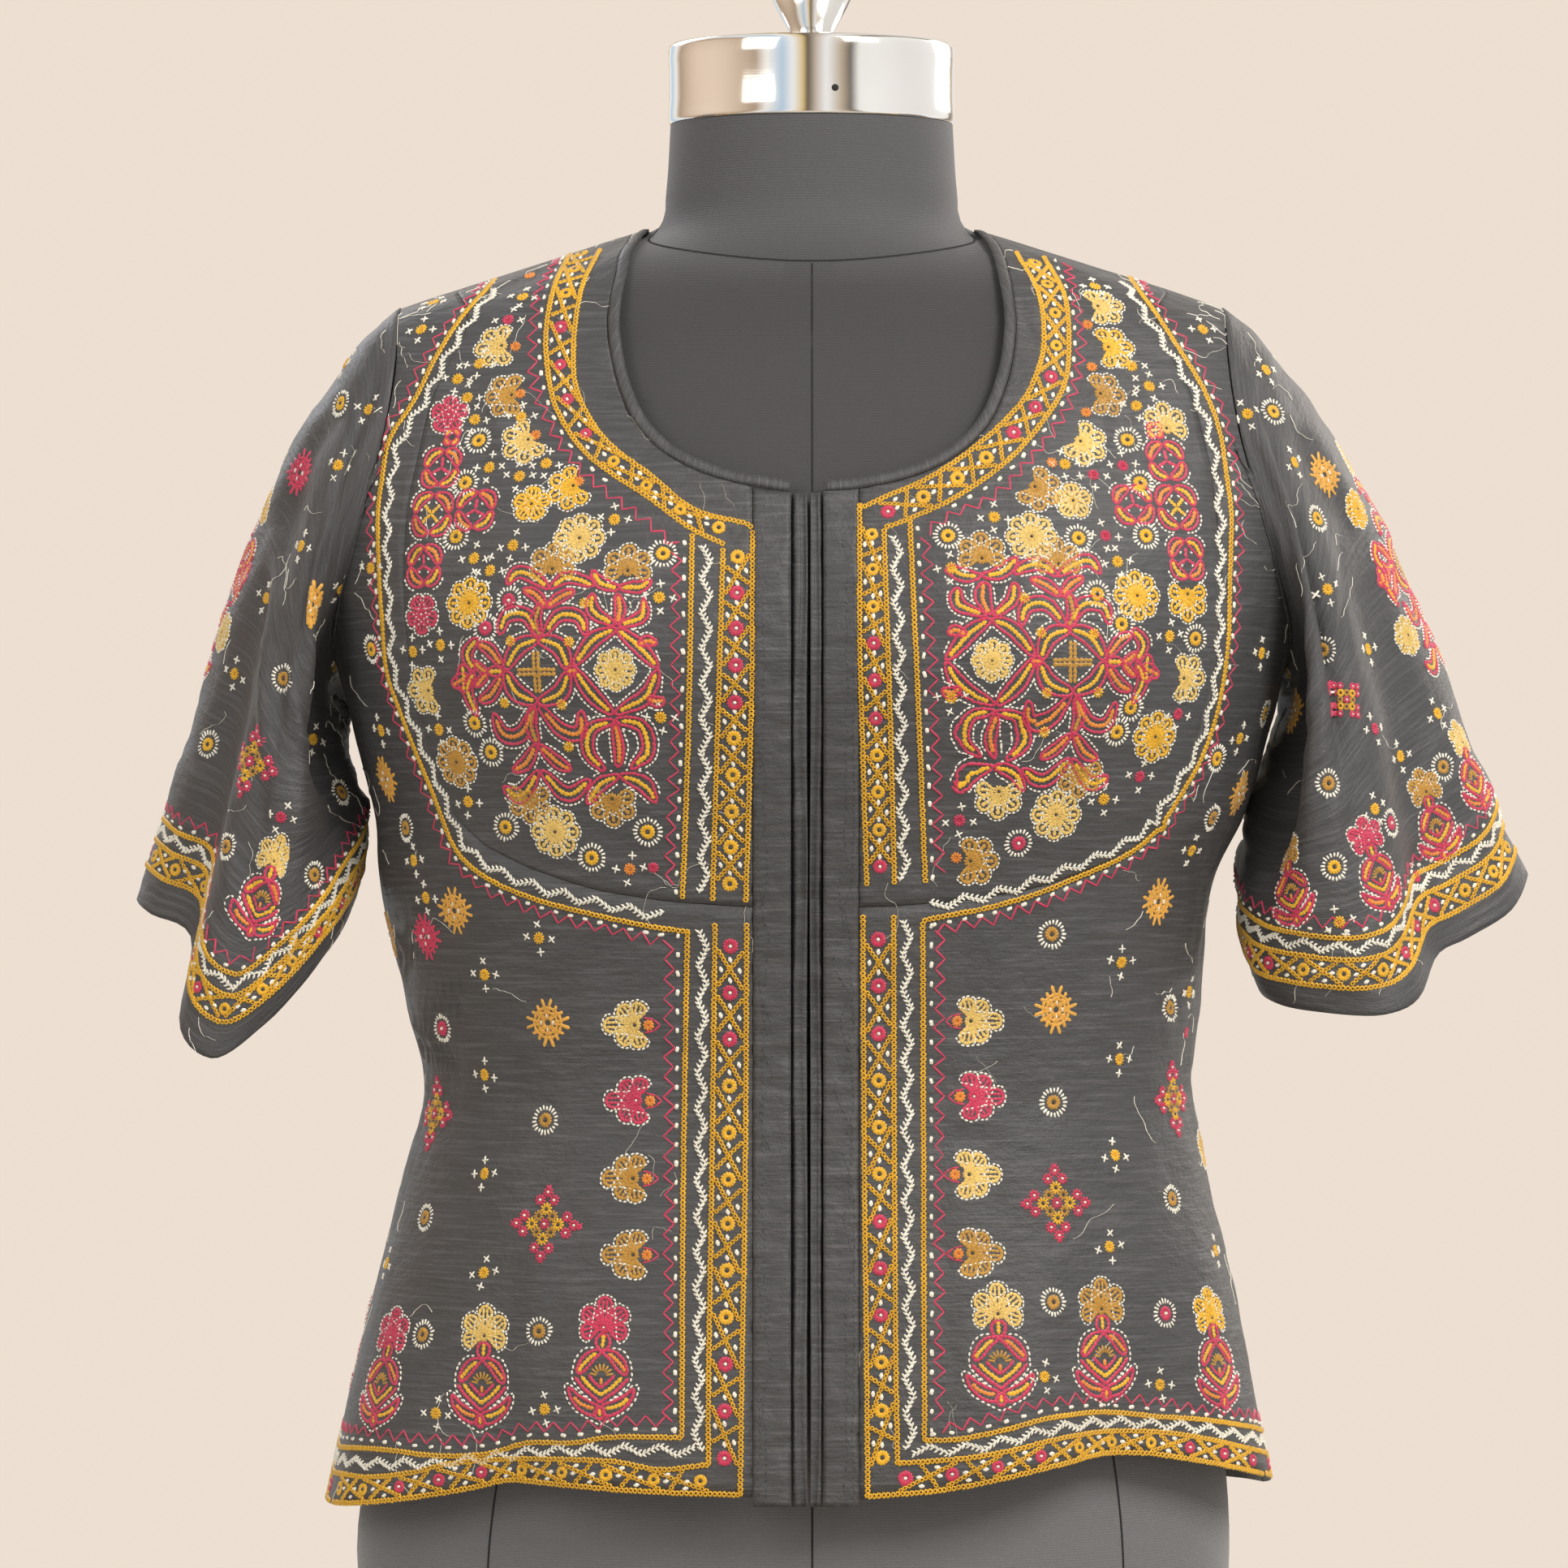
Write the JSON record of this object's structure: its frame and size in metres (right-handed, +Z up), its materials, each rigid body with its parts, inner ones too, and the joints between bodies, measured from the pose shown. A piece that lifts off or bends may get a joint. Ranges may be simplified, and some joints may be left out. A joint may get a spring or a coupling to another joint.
{
  "type": "choli blouse on dress form",
  "caption": "Open-front choli blouse with scoop neck, curved bust seams and flared elbow sleeves, worn by a limbless dress form with a round neck cap and knob.",
  "frame": {"origin": "centre of the dress form's flat base, on the surface it stands on", "axes": "+Z up the form, -Y out of the front, +X to the wearer's left"},
  "size_m": [0.601, 0.2733, 0.7855],
  "materials": {
    "silk": "black slub silk with thread embroidery",
    "jersey": "dark grey fine-ribbed jersey over the form",
    "chrome": "polished",
    "board": "painted dark"
  },
  "bodies": {
    "root": {"cup_right": "silk", "cup_left": "silk", "front_right": "silk", "front_left": "silk", "back": "silk", "band_right": "silk", "band_left": "silk", "facing_right": "silk", "facing_left": "silk", "neck_binding": "silk", "sleeve_right": "silk", "sleeve_left": "silk", "form_body": "jersey", "form_neck": "jersey", "neck_cap": "chrome", "cap_knob": "chrome", "form_base": "board"}
  },
  "joints": []
}
